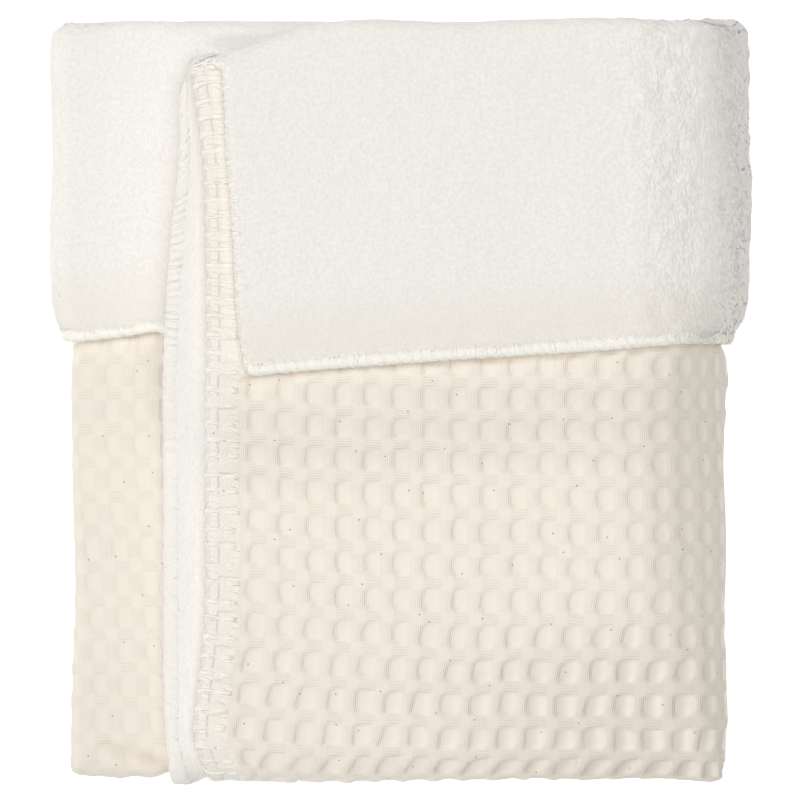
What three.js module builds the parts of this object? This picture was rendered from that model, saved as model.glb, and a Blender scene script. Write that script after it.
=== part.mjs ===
// A folded bassinet blanket: a panel of cotton waffle weave and a plush lining of the same cut, joined at the
// edge. The top of the blanket is turned down as a cuff. Then the blanket is folded in half with the plush
// inside, folded over to the left once more, and the whole bundle is folded at the bottom to lie on its own
// back half.
import * as THREE from "three";

// Sizes are in millimetres. X runs across the bundle, Y up its length, and Z up from the surface under it.
const WAFFLE = 1.9; // thickness of the waffle panel
const PLUSH = 2.5; // thickness of the plush lining, its pile lying down
const BETWEEN = 0.3; // gap between the two panels of one ply
const CLEAR = 0.25; // room that a ply keeps on either side
const PLY = CLEAR + WAFFLE + BETWEEN + PLUSH + CLEAR; // pitch of the plies in the pile
const HEM_SLOPE = 55; // how far past a cuff's hem the plies above it come down
const EDGE_SLOPE = 34; // how far past a side edge the plies above it come down
const BACK_SHORT = 15; // how far below the top of the bundle the back half ends
const DROOP_START = 11; // how far past the back half's right fold the front half starts to come down
const DROOP_EASE = 10; // the stretch over which it bends down
const DROOP_SLOPE = 0.8; // how steeply it then comes down
const FOLD_STEPS = { left: 4, inner: 4, outer: 6 }; // facets around each fold of the width
const HOOK_STEPS = 4; // facets around the turn of the cuff
const BOTTOM_STEPS = 6; // facets around the bottom fold

// Rows of numbers under the names of their columns.
function table(names, rows) {
  return rows.map((row) => Object.fromEntries(names.map((name, i) => [name, row[i]])));
}

// Lines that run down the bundle, by their X at each height Y: the centres of the side folds, the blanket's
// two side edges where they come to the front, the side edge of the cuff on top, and the right fold of the
// back half.
const LINES = table(
  ["at", "leftFold", "innerEdge", "outerEdge", "cuffEdge", "rightFold", "backFold"],
  [
    [-158, -131.4, -89.0, -85.5, -64.0, 124.2, 119.0],
    [-140, -131.3, -94.8, -84.5, -64.0, 124.2, 115.0],
    [-124, -131.0, -97.0, -83.4, -64.0, 124.4, 107.0],
    [-90, -129.8, -97.3, -79.8, -64.0, 122.9, 94.0],
    [-45, -130.4, -97.2, -79.4, -64.0, 123.2, 89.0],
    [0, -131.2, -97.2, -79.3, -63.4, 120.4, 89.0],
    [16, -130.6, -96.9, -78.9, -63.6, 118.2, 89.4],
    [25, -128.6, -96.7, -78.8, -65.3, 116.4, 90.0],
    [41, -134.0, -96.0, -78.8, -66.8, 122.9, 91.0],
    [70, -134.4, -93.9, -79.2, -68.1, 124.2, 91.0],
    [99, -133.6, -90.6, -80.4, -70.5, 124.2, 91.0],
    [124, -134.2, -90.2, -83.5, -71.7, 124.0, 91.0],
    [150, -134.0, -89.4, -87.6, -73.6, 123.6, 91.0],
  ],
);

// Lines that run across the bundle, by their Y at each X: the centre of the bottom fold, the hem of the cuff,
// and the centres of the cuff's turn, where the flap on top is rounded off at its corner and the rest isn't.
const ROWS = table(
  ["at", "bottom", "hem", "flapTop", "top"],
  [
    [-134, -144.4, 26.0, 125.0, 148.6],
    [-115, -144.6, 26.4, 125.0, 151.2],
    [-97, -142.6, 25.6, 125.0, 150.9],
    [-79, -136.2, 12.6, 135.4, 151.6],
    [-61, -136.1, 12.6, 140.2, 151.6],
    [-22, -136.5, 15.2, 151.2, 151.6],
    [22, -136.9, 18.0, 150.8, 150.8],
    [72, -135.8, 20.8, 152.8, 152.8],
    [123, -135.2, 23.6, 151.2, 151.2],
  ],
);

// Where every ply is cut into facets across the bundle: a share of the way from one line to another.
const COLUMNS = [
  { from: "leftFold", to: "innerEdge", share: 0 },
  { from: "leftFold", to: "innerEdge", share: 0.5 },
  { from: "innerEdge", to: "outerEdge", share: 0 },
  { from: "outerEdge", to: "rightFold", share: 0 },
  { from: "outerEdge", to: "rightFold", share: 0.09 },
  { from: "outerEdge", to: "rightFold", share: 0.28 },
  { from: "outerEdge", to: "rightFold", share: 0.5 },
  { from: "outerEdge", to: "rightFold", share: 0.75 },
  { from: "outerEdge", to: "rightFold", share: 0.9 },
  { from: "outerEdge", to: "rightFold", share: 0.95 },
  { from: "outerEdge", to: "rightFold", share: 1 },
];
const INNER_EDGE = 2; // the first column of ply 3
const OUTER_EDGE = 3; // the first column of ply 4
const RIGHT_FOLD = COLUMNS.length - 1;

// Where every ply is cut into facets along its length: shares of the stretch between two rows.
const CUFF_SHARES = [0, 0.33, 0.67, 1]; // hem to top
const BODY_SHARES = [0, 0.17, 0.33, 0.64, 0.76, 0.88, 1]; // bottom to hem

// The pile from the surface up. Where a layer ends, those above it sink by one ply.
const PILE = [
  { layer: "back4", waffle: "down", ends: "outerEdge" },
  { layer: "back3", waffle: "up", ends: "innerEdge" },
  { layer: "back2", waffle: "down", ends: "never" },
  { layer: "back1", waffle: "up", ends: "never" },
  { layer: "cuff1", waffle: "up", ends: "hem" },
  { layer: "front1", waffle: "down", ends: "never" },
  { layer: "front2", waffle: "up", ends: "never" },
  { layer: "cuff2", waffle: "down", ends: "hem" },
  { layer: "cuff3", waffle: "up", ends: "hem" },
  { layer: "front3", waffle: "down", ends: "never" },
  { layer: "front4", waffle: "up", ends: "never" },
  { layer: "cuff4", waffle: "down", ends: "never" },
];

const mix = THREE.MathUtils.lerp;

// A column of a table, read at any place on a smooth curve through its rows.
function read(table, at, column) {
  const last = table.length - 2;
  let i = table.findIndex((row) => row.at > at) - 1;
  i = i < -1 ? last : Math.min(Math.max(i, 0), last);
  const rows = [table[Math.max(i - 1, 0)], table[i], table[i + 1], table[Math.min(i + 2, last + 1)]];
  const span = rows[2].at - rows[1].at;
  const share = THREE.MathUtils.clamp((at - rows[1].at) / span, 0, 1);
  const slope = (a, b) => (rows[b][column] - rows[a][column]) / (rows[b].at - rows[a].at);
  const start = slope(0, 2) * span;
  const end = slope(1, 3) * span;
  const rise = rows[2][column] - rows[1][column];
  const curve = share * (share - 1) * ((share - 1) * (start - rise) + share * (end - rise));
  return mix(rows[1][column], rows[2][column], share) + curve;
}

// How much of a layer lies under a place: all of it inside its outline, and less and less past its edge.
function presence(ends, x, y) {
  if (ends === "never") {
    return 1;
  }
  const past = ends === "hem" ? read(ROWS, x, "hem") - y : read(LINES, y, ends) - x;
  const slope = ends === "hem" ? HEM_SLOPE : EDGE_SLOPE;
  return 1 - THREE.MathUtils.smoothstep(past, 0, slope);
}

// Height of a face of the cloth in a layer, with its depth counted from the waffle side of the ply.
function heightIn(layer, x, y, depth) {
  const level = PILE.findIndex((row) => row.layer === layer);
  const below = PILE.slice(0, level).reduce((sum, row) => sum + presence(row.ends, x, y), 0);
  const rise = PILE[level].waffle === "down" ? depth : PLY - depth;
  return PLY * below + rise - CLEAR;
}

// X of a column at a height. The back half has a right fold of its own, and the cuff on top has a side edge
// of its own, which draws the columns next to it along.
function columnX(column, y, layer) {
  const { from, to, share } = COLUMNS[column];
  const end = layer.startsWith("back") && to === "rightFold" ? "backFold" : to;
  const x = mix(read(LINES, y, from), read(LINES, y, end), share);
  const drawn = layer === "cuff4" && from === "outerEdge" ? (1 - share) ** 2 : 0;
  return x + drawn * (read(LINES, y, "cuffEdge") - read(LINES, y, "outerEdge"));
}

// How far the front half comes down where it reaches past the right fold of the back half under it.
function droop(part, x, y) {
  if (part === "back") {
    return 0;
  }
  const past = Math.max(x - read(LINES, y, "backFold") - DROOP_START, 0);
  return DROOP_SLOPE * (past < DROOP_EASE ? past ** 2 / (2 * DROOP_EASE) : past - DROOP_EASE / 2);
}

// Stations across the blanket, from one side edge to the other. A flat one lies in one ply, and one in a fold
// lies at an angle between two plies, to the left or the right of the fold's centre.
function flat(ply, columns) {
  return columns.map((column) => ({ column, plies: [ply, ply], angle: 0, side: 0 }));
}
function fold(plies, side, steps) {
  const column = side < 0 ? 0 : RIGHT_FOLD;
  const angles = Array.from({ length: steps - 1 }, (_, i) => (Math.PI * (i + 1)) / steps);
  return angles.map((angle) => ({ column, plies, angle, side }));
}
const rightward = (first) => COLUMNS.map((_, i) => i).slice(first);
const leftward = (last) => rightward(last).reverse();
const ACROSS = [
  ...flat(4, rightward(OUTER_EDGE)),
  ...fold([4, 1], 1, FOLD_STEPS.outer),
  ...flat(1, leftward(0)),
  ...fold([1, 2], -1, FOLD_STEPS.left),
  ...flat(2, rightward(0)),
  ...fold([2, 3], 1, FOLD_STEPS.inner),
  ...flat(3, leftward(INNER_EDGE)),
];

// Stations along the blanket, from the hem of the cuff over the top, down the front and up the back.
const turn = (part, steps) =>
  Array.from({ length: steps - 1 }, (_, i) => ({ part, angle: (Math.PI * (i + 1)) / steps }));
const stretch = (part, from, to, shares) => shares.map((share) => ({ part, from, to, share }));
const ALONG = [
  ...stretch("cuff", "hem", "top", CUFF_SHARES),
  ...turn("hook", HOOK_STEPS),
  ...stretch("front", "hem", "top", CUFF_SHARES).reverse(),
  ...stretch("front", "bottom", "hem", BODY_SHARES).reverse().slice(1),
  ...turn("bottom", BOTTOM_STEPS),
  ...stretch("back", "bottom", "hem", BODY_SHARES),
  ...stretch("back", "hem", "top", CUFF_SHARES).slice(1, -1),
  { part: "back", from: "hem", to: "backEnd", share: 1 },
];

// Y of the rows that a station across the blanket meets.
function rowsOf(station) {
  const x = columnX(station.column, 0, "front");
  const top = read(ROWS, x, station.plies[0] >= 3 ? "flapTop" : "top");
  const backEnd = read(ROWS, x, "top") - BACK_SHORT;
  return { bottom: read(ROWS, x, "bottom"), hem: read(ROWS, x, "hem"), top, backEnd };
}

// The cross-section: how far out of its column a station lies, and how high. In a fold it runs on a half
// circle, which the front half's droop leans over.
function section(station, part, y, depth) {
  const [first, second] = station.plies.map((ply) => part + ply);
  const x = columnX(station.column, y, first);
  const start = heightIn(first, x, y, depth);
  const end = heightIn(second, x, y, depth);
  const out = station.side * (Math.abs(end - start) / 2) * Math.sin(station.angle);
  const z = mix(start, end, (1 - Math.cos(station.angle)) / 2) - droop(part, x + out, y);
  return { x: x + out, z, out };
}

// Half a turn from one part of the cloth to the next, about a line across the bundle.
function turned(station, first, second, row, way, angle, depth) {
  const a = section(station, first, row, depth);
  const b = section(station, second, row, depth);
  const share = (1 - Math.cos(angle)) / 2;
  const radius = Math.hypot(b.out - a.out, b.z - a.z) / 2;
  const y = row + way * radius * Math.sin(angle);
  const drift = columnX(station.column, y, "front") - columnX(station.column, row, "front");
  return new THREE.Vector3(mix(a.x, b.x, share) + drift, y, mix(a.z, b.z, share));
}

// The point of the cloth at a station across and a station along, at a depth from the waffle side.
function pointOf(station, place, depth) {
  const rows = rowsOf(station);
  if (place.part === "hook") {
    return turned(station, "cuff", "front", rows.top, 1, place.angle, depth);
  }
  if (place.part === "bottom") {
    return turned(station, "front", "back", rows.bottom, -1, place.angle, depth);
  }
  const y = mix(rows[place.from], rows[place.to], place.share);
  const { x, z } = section(station, place.part, y, depth);
  return new THREE.Vector3(x, y, z);
}

// A closed sheet between two depths: its two faces, and the narrow rim that joins them all round.
function sheet(name, nearDepth, farDepth, material) {
  const wide = ACROSS.length;
  const long = ALONG.length;
  const grid = (depth) => ACROSS.flatMap((station) => ALONG.map((place) => pointOf(station, place, depth)));
  const near = grid(nearDepth);
  const points = [...near, ...grid(farDepth)];
  const index = (i, j) => i * long + j;
  const faces = [];
  const quad = (a, b, c, d) => faces.push(a, b, c, a, c, d);
  const face = (i, j, lift, back) => {
    const corners = [index(i, j), index(i + 1, j), index(i + 1, j + 1), index(i, j + 1)];
    const across = near[corners[1]].x - near[corners[0]].x;
    const along = near[corners[3]].y - near[corners[0]].y;
    const ordered = across * along < 0 ? [...corners.slice(1), corners[0]] : corners;
    const [a, b, c, d] = ordered.map((corner) => corner + lift);
    quad(a, back ? d : b, c, back ? b : d);
  };
  for (let i = 0; i < wide - 1; i += 1) {
    for (let j = 0; j < long - 1; j += 1) {
      face(i, j, 0, true);
      face(i, j, near.length, false);
    }
  }
  const rim = [
    ...Array.from({ length: wide - 1 }, (_, i) => index(i, 0)),
    ...Array.from({ length: long - 1 }, (_, j) => index(wide - 1, j)),
    ...Array.from({ length: wide - 1 }, (_, i) => index(wide - 1 - i, long - 1)),
    ...Array.from({ length: long - 1 }, (_, j) => index(0, long - 1 - j)),
  ];
  rim.forEach((here, i) => {
    const next = rim[(i + 1) % rim.length];
    quad(here, next, next + near.length, here + near.length);
  });
  const geometry = new THREE.BufferGeometry().setFromPoints(points).setIndex(faces);
  geometry.computeVertexNormals();
  const mesh = new THREE.Mesh(geometry, material);
  mesh.name = name;
  return mesh;
}

const cotton = new THREE.MeshStandardMaterial({ color: 0xf0e6d8, roughness: 0.9, metalness: 0 });
const fleece = new THREE.MeshStandardMaterial({ color: 0xf4f2ee, roughness: 1, metalness: 0 });

const blanket = new THREE.Group();
blanket.add(sheet("waffle_outer", CLEAR, CLEAR + WAFFLE, cotton));
blanket.add(sheet("plush_lining", CLEAR + WAFFLE + BETWEEN, PLY - CLEAR, fleece));

export default blanket;
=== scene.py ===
# %% [markdown]
# # A folded bassinet blanket
#
# The blanket is a panel of cotton waffle weave and a plush lining of the same size, joined at the edge
# with overlock stitches. It is folded into a bundle, with its top turned down as a plush cuff. The
# construction gives both panels as solids of one thickness. Here they get their weave, their pile and
# their stitches.

import bpy
import numpy as np
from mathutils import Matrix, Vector


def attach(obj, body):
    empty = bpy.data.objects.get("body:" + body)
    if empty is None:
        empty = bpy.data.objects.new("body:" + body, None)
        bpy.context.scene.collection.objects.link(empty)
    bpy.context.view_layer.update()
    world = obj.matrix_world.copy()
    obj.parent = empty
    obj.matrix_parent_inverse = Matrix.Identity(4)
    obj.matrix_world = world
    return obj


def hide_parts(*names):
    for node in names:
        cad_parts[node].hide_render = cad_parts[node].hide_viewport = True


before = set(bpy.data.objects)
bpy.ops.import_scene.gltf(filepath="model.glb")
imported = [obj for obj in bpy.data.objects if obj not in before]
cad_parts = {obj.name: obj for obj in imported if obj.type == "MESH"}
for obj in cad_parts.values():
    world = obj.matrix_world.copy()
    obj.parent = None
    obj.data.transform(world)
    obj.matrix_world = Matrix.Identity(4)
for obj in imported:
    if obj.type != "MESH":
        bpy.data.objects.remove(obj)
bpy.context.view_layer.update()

# %% [markdown]
# ## The camera
#
# The photograph looks straight down on the blanket from far away, so that its sides hardly show. A long
# lens on a high camera gives that view, where a parallel one would lose the last of the sides. One pixel
# of the photograph is a known size on the cloth, which sets the lens.

# %% The camera over the blanket
MM = 0.001
PHOTO_PIXELS = 800
PIXEL_SIZE = 0.412 * MM
CAMERA_HEIGHT = 5.0
SCALE_LEVEL = 0.035  # the height over the floor at which a pixel has that size


def placed(name, data, location=(0, 0, 0)):
    """A new object for a mesh, a camera or a light, linked to the scene."""
    thing = bpy.data.objects.new(name, data)
    thing.location = location
    bpy.context.scene.collection.objects.link(thing)
    return thing


camera_data = bpy.data.cameras.new("camera")
camera_data.sensor_width = 36.0
camera_data.lens = camera_data.sensor_width * (CAMERA_HEIGHT - SCALE_LEVEL) / (PHOTO_PIXELS * PIXEL_SIZE)
bpy.context.scene.camera = placed("camera", camera_data, (0, 0, CAMERA_HEIGHT))
print("lens in mm:", round(camera_data.lens, 1))

# %% [markdown]
# ## How the blanket is folded
#
# Both panels follow the same folds, so one function of the cloth gives the place of every point of
# either. It is worked out in millimetres from the same driving sizes as the construction: lines that run
# down the bundle, lines that run across it, and the pile of layers from the floor up. Where a layer ends,
# the layers above it sink by one ply.

# %% The driving sizes of the folds
# The thickness of the two panels and of the air between and round them. Together they are one ply.
WAFFLE, PLUSH, BETWEEN, CLEAR = 1.9, 2.5, 0.3, 0.25
PLY = CLEAR + WAFFLE + BETWEEN + PLUSH + CLEAR
# How far past a hem and past a side edge the plies above come down, and how far the back half ends short.
HEM_SLOPE, EDGE_SLOPE, BACK_SHORT = 55.0, 34.0, 15.0
# Past the back half's right fold the front half comes down: where, over what stretch it bends, how steeply.
DROOP_START, DROOP_EASE, DROOP_SLOPE = 11.0, 10.0, 0.8
# The upper plies bend over a longer stretch, bulge, and get steeper at the last. In the cuff all is later.
TOP_EASE, BULGE, LAST_SLOPE, CUFF_LATER = 24.0, 2.6, 0.3, 5.0
# The bottom right corner comes out, the narrow strip ends in a lobe, and the low end sags by a share.
CORNER, LOBE, SAG = 10.5, 3.4, 0.12


def table(names, *rows):
    """Rows of numbers under the names of their columns, as one array for each column."""
    return dict(zip(names.split(), np.array(rows, float).T))


LINES = table(
    "at leftFold innerEdge outerEdge cuffEdge rightFold backFold",
    (-158, -131.4, -94.0, -77.5, -64.0, 124.4, 121.0),
    (-140, -131.3, -96.0, -84.2, -64.0, 125.2, 117.5),
    (-124, -131.0, -97.0, -83.4, -64.0, 125.4, 107.5),
    (-90, -129.8, -97.3, -79.8, -64.0, 124.2, 94.4),
    (-45, -130.4, -97.2, -79.4, -64.0, 124.5, 89.4),
    (0, -131.2, -97.2, -79.3, -63.4, 122.1, 89.4),
    (16, -130.6, -96.9, -78.9, -63.6, 120.4, 89.8),
    (25, -128.6, -96.7, -78.8, -65.3, 116.8, 90.4),
    (33, -131.8, -96.3, -78.8, -66.0, 121.4, 90.5),
    (41, -134.0, -96.0, -78.8, -66.8, 123.4, 91.0),
    (70, -134.8, -93.9, -79.2, -68.1, 124.9, 91.2),
    (99, -133.6, -90.6, -80.4, -70.5, 124.2, 91.0),
    (124, -134.2, -90.2, -83.5, -71.7, 124.0, 91.0),
    (150, -134.0, -89.4, -87.6, -73.6, 123.6, 91.0),
    (160, -127.0, -89.0, -89.0, -74.2, 122.0, 91.0),
)
ROWS = table(
    "at bottom hem flapTop top",
    (-134, -146.0, 24.6, 125.0, 150.4),
    (-115, -146.2, 26.6, 125.0, 151.8),
    (-97, -143.4, 27.4, 125.0, 150.9),
    (-79, -136.8, 11.8, 135.4, 151.3),
    (-61, -136.5, 11.8, 140.2, 151.3),
    (-22, -136.9, 14.4, 150.7, 151.0),
    (22, -137.1, 17.2, 149.9, 149.9),
    (72, -136.4, 20.0, 151.9, 151.9),
    (123, -135.8, 23.6, 150.5, 150.5),
)

# The pile from the floor up: the part and the ply, which way the waffle looks, and where the layer ends.
PILE = [
    ("back", 4, "down", "outerEdge"),
    ("back", 3, "up", "innerEdge"),
    ("back", 2, "down", "never"),
    ("back", 1, "up", "never"),
    ("cuff", 1, "up", "hem"),
    ("front", 1, "down", "never"),
    ("front", 2, "up", "never"),
    ("cuff", 2, "down", "hem"),
    ("cuff", 3, "up", "hem"),
    ("front", 3, "down", "never"),
    ("front", 4, "up", "never"),
    ("cuff", 4, "down", "never"),
]
PARTS = ["back", "cuff", "front"]
BACK, CUFF, FRONT = range(len(PARTS))
LEVEL = np.zeros((len(PARTS), 5), int)  # the place in the pile of each part's ply 1 to 4
for level, (part, ply, _, _) in enumerate(PILE):
    LEVEL[PARTS.index(part), ply] = level
LOOKS_DOWN = np.array([row[2] == "down" for row in PILE])
print("layers in the pile:", len(PILE), "and a ply takes", PLY, "mm")


# %% Reading the tables and the height of a layer
def mix(a, b, share):
    """A share of the way from a to b."""
    return a + (b - a) * share


def smooth(t):
    """3 t squared - 2 t cubed, for t held between 0 and 1."""
    t = np.clip(t, 0, 1)
    return t * t * (3 - 2 * t)


def bell(t):
    """A bell curve, 1 in its middle: e to the power of minus t squared."""
    return np.exp(-(t**2))


def over(values, start, stop, blend):
    """1 between two places and 0 outside them, along smooth steps that end there."""
    return smooth((values - start) / blend) * smooth((stop - values) / blend)


def read(rows, at, column):
    """A curve through the rows: cubics whose slope at each row is that of the chord past it."""
    place, value = rows["at"], rows[column]
    before = np.maximum(np.arange(len(place)) - 1, 0)
    after = np.minimum(np.arange(len(place)) + 1, len(place) - 1)
    slope = (value[after] - value[before]) / (place[after] - place[before])
    i = np.clip(np.searchsorted(place, at, side="right") - 1, 0, len(place) - 2)
    span = place[i + 1] - place[i]
    share = np.clip((at - place[i]) / span, 0, 1)
    rise = value[i + 1] - value[i]
    bend = (share - 1) * (slope[i] * span - rise) + share * (slope[i + 1] * span - rise)
    return value[i] + rise * share + share * (share - 1) * bend


def lying(ends, x, y):
    """How much of a layer lies under a place: 1 inside its outline, then less along a smooth step."""
    if ends == "never":
        return np.ones_like(x)
    if ends == "hem":
        return 1 - smooth((read(ROWS, x, "hem") - y) / HEM_SLOPE)
    return 1 - smooth((read(LINES, y, ends) - x) / EDGE_SLOPE)


def height(level, x, y, depth):
    """One ply for each layer below, as far as it lies there, plus the depth from the waffle side."""
    kinds = {ends: lying(ends, x, y) for ends in {row[3] for row in PILE}}
    below = np.cumsum([np.zeros_like(x)] + [kinds[row[3]] for row in PILE], axis=0)
    under = np.take_along_axis(below, level[None], 0)[0]
    return PLY * under + np.where(LOOKS_DOWN[level], depth, PLY - depth) - CLEAR


# %% [markdown]
# ## The cloth as a function of two ways
#
# Folded cloth could be simulated, but it would never come to rest just as in the photograph. So a point
# of the cloth is worked out from a way across and a way along. Across, the cloth runs through ply 4, the
# right fold, ply 1, the left fold, ply 2, the inner right fold and ply 3. Along, it runs from the hem of
# the cuff over the top, down the front, round the bottom and up the back. The whole part of a number says
# which stretch, and the rest says how far along that stretch.

# %% The two ways and the lines they follow
# Across: the plies that a stretch goes from and to, its first and last column, and the side of its fold.
WAY_ACROSS = table(
    "first second start end side",
    (4, 4, 2, 3, 0),
    (4, 1, 3, 3, 1),
    (1, 1, 3, 0, 0),
    (1, 2, 0, 0, -1),
    (2, 2, 0, 3, 0),
    (2, 3, 3, 3, 1),
    (3, 3, 3, 1, 0),
)
# Along: the parts that a stretch goes from and to, and whether its turn bulges to plus or to minus Y.
WAY_ALONG = table(
    "first second turn",
    (CUFF, CUFF, 0),
    (CUFF, FRONT, 1),
    (FRONT, FRONT, 0),
    (FRONT, BACK, -1),
    (BACK, BACK, 0),
)
ACROSS_END, ALONG_END = 7.0, 5.0
LEFT_PANEL, FRONT_PART, BOTTOM_TURN = 4, 2, 3  # where ply 2, the front and the bottom turn start


def stretch(way, at):
    """The stretch of a way, which is the whole part of a number, and the share of it, which is the rest."""
    index = np.clip(np.floor(at).astype(int), 0, len(way["first"]) - 1)
    return index, at - index


def column_x(column, y, level):
    """X between the lines down the bundle: column 0 to 1, 1 to 2 and 2 to 3 are its three stretches."""
    index = np.clip(np.floor(column).astype(int), 0, 2)
    share = column - index
    back = level <= LEVEL[BACK, 1]
    right = np.where(back, read(LINES, y, "backFold"), read(LINES, y, "rightFold"))
    lines = [read(LINES, y, name) for name in ("leftFold", "innerEdge", "outerEdge")] + [right]
    x = mix(np.choose(index, lines[:3]), np.choose(index, lines[1:]), share)
    drawn = np.where((level == LEVEL[CUFF, 4]) & (index == 2), (1 - share) ** 2, 0)
    return x + drawn * (read(LINES, y, "cuffEdge") - lines[2])


def droop(part, x, y, z):
    """How far the front half comes down past the right fold of the back half under it.

    A parabola eases into the slope. It is longer for the upper plies, which bend about a larger radius.
    They also bulge where they turn down, as a bell curve, and a second parabola makes them steeper at last.
    """
    in_cuff, upper = smooth((y - 15) / 20), smooth((z - 26) / 26)
    past_fold = x - read(LINES, y, "backFold")
    ease = DROOP_EASE + TOP_EASE * upper
    start = DROOP_START + (DROOP_EASE - ease) / 2 + CUFF_LATER * in_cuff
    past = np.maximum(past_fold - start, 0)
    eased = np.where(past < ease, past**2 / (2 * ease), past - ease / 2)
    bulge = BULGE * (1 - 0.6 * in_cuff) * smooth((z - 30) / 34) * bell((past - start - 27) / 12)
    last = np.maximum(past_fold - 17 - 7 * in_cuff, 0)
    last = np.where(last < 12, last**2 / 24, last - 6)
    last = LAST_SLOPE * (1 - 0.7 * in_cuff) * upper * last
    return np.where(part == BACK, 0, DROOP_SLOPE * eased - bulge + last)


# %% The place of a point of the cloth
def section(part, where, y, depth):
    """X and height in the cross-section. In a fold, a half circle between the heights of its two plies."""
    first, second, column, angle, side = where
    x = column_x(column, y, LEVEL[part, first])
    start = height(LEVEL[part, first], x, y, depth)
    end = height(LEVEL[part, second], x, y, depth)
    out = side * np.abs(end - start) / 2 * np.sin(angle)
    z = mix(start, end, (1 - np.cos(angle)) / 2)
    return x + out, z - droop(part, x + out, y, z), out


def settled(x, y, z):
    """The bottom right corner comes out and is drawn in at the side, by a cubic, and the low end sags."""
    corner = np.clip((x - 108) / 25, 0, 1.12) ** 3
    x = x - 1.3 * corner * bell((y + 139) / 10)
    y = y - CORNER * corner * smooth((-116 - y) / 28)
    return x, y, z * (1 - SAG * smooth((-75 - y) / 75))


def cloth(across, along, depth):
    """The points, in millimetres, of arrays of places on the cloth at a depth from its waffle side.

    In a turn of the way along, half a circle from one part to the other about a line across the bundle.
    """
    across, along, depth = (np.asarray(a, float) for a in np.broadcast_arrays(across, along, depth))
    i, share = stretch(WAY_ACROSS, across)
    first, second = WAY_ACROSS["first"][i].astype(int), WAY_ACROSS["second"][i].astype(int)
    side = WAY_ACROSS["side"][i]
    column = mix(WAY_ACROSS["start"][i], WAY_ACROSS["end"][i], share)
    where = (first, second, column, np.pi * share * (side != 0), side)
    level_x = column_x(column, np.zeros_like(column), np.full(column.shape, LEVEL[FRONT, 4]))
    hem, bottom, flap_top, top = (read(ROWS, level_x, name) for name in ("hem", "bottom", "flapTop", "top"))
    strip = smooth((level_x + 98) / 12) * (1 - smooth((level_x + 80) / 14)) * (first == 3)
    bottom, back_end = bottom - LOBE * strip, top - BACK_SHORT
    top = np.where(first >= 3, flap_top, top)

    j, share = stretch(WAY_ALONG, along)
    part, other = WAY_ALONG["first"][j].astype(int), WAY_ALONG["second"][j].astype(int)
    turn = WAY_ALONG["turn"][j]
    start = np.choose(j, [hem, top, top, bottom, bottom])
    end = np.choose(j, [top, top, bottom, bottom, back_end])
    row = mix(start, end, share)
    x, z, out = section(part, where, row, depth)
    next_x, next_z, next_out = section(other, where, row, depth)
    swing = (1 - np.cos(np.pi * share)) / 2 * (turn != 0)
    radius = np.hypot(next_out - out, next_z - z) / 2
    y = row + turn * radius * np.sin(np.pi * share)
    front = np.full(column.shape, LEVEL[FRONT, 1])
    drift = column_x(column, y, front) - column_x(column, row, front)
    x = mix(x, next_x, swing) + np.where(turn != 0, drift, 0)
    return np.stack(settled(x, y, mix(z, next_z, swing)), axis=-1)


print("middle of the right fold of the front, on the waffle side:", cloth([2.0], [2.5], CLEAR).round(1))

# %% [markdown]
# ## A net of threads on the folded cloth
#
# The weave has to keep its size wherever the cloth goes, over the folds too. So each row of points is
# spaced by the length of the cloth, and not by X or Y. The lengths are measured on a fine first net, and
# the places of the points are read off by interpolation, row by row.


# %% Spacing the rows and columns of a net by the length of the cloth
def row_by_row(target, known, values):
    """Interpolates each row in its own known places. The rows are moved apart, so that one call does all."""
    target = np.clip(target, known[:, :1], known[:, -1:])
    step = (np.ptp(known) + 1) * np.arange(len(known))[:, None]
    found = np.interp((target + step).ravel(), (known + step).ravel(), values.ravel())
    return found.reshape(target.shape)


def lengths(points):
    """The length of the cloth up to each point, along the rows of an array of points."""
    steps = np.linalg.norm(np.diff(points, axis=1), axis=2)
    return np.concatenate([np.zeros((len(points), 1)), np.cumsum(steps, axis=1)], axis=1)


def between(values, nominal, real):
    """Values on a scale of nominal marks, put on each row's own scale of real marks."""
    nominal = np.asarray(nominal, float)
    i = np.clip(np.searchsorted(nominal, values, side="right") - 1, 0, len(nominal) - 2)
    share = (values - nominal[i]) / (nominal[i + 1] - nominal[i])
    real = np.stack(np.broadcast_arrays(*real), axis=1)
    return mix(real[:, i], real[:, i + 1], share)


def fine_way(end, folds, flat_steps=150, fold_steps=24):
    """A fine way through whole numbers: many steps in each stretch, fewer where it is a fold."""
    counts = [fold_steps if i in folds else flat_steps for i in range(int(end))]
    return np.append(np.concatenate([i + np.arange(n) / n for i, n in enumerate(counts)]), end)


FINE_ACROSS, FINE_ALONG = fine_way(ACROSS_END, {1, 3, 5}), fine_way(ALONG_END, {1, 3})


def net(depth, across, along, across_marks, along_marks):
    """The places of a net's points. across and along are the lengths of cloth at its columns and rows.

    The marks say which lengths belong to which real ones: first a list of nominal lengths, then a function
    that gives the real ones from the lengths measured on the cloth.
    """
    nominal, measured = across_marks
    real = lengths(cloth(FINE_ACROSS[None, :], FINE_ALONG[:, None], depth))
    target = between(across, nominal, measured(real))
    places = row_by_row(target, real, np.broadcast_to(FINE_ACROSS, real.shape))
    columns = cloth(places, FINE_ALONG[:, None], depth).transpose(1, 0, 2)
    real = lengths(columns)
    nominal, measured = along_marks
    target = between(along, nominal, measured(real, columns, across))
    steps = np.broadcast_to(FINE_ALONG, real.shape)
    ways = row_by_row(target, real, steps)
    return row_by_row(ways, steps, places.T), ways


print("first net:", len(FINE_ACROSS), "by", len(FINE_ALONG))

# %% [markdown]
# ## Soft unevenness
#
# Real cloth is never even. Random numbers on a coarse lattice, joined by smooth steps, give soft hills
# and hollows of any size. Each use has its own seed, so that the blanket comes out the same every time.


# %% Soft random hills
LATTICE = 257  # values each way before the pattern repeats


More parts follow.
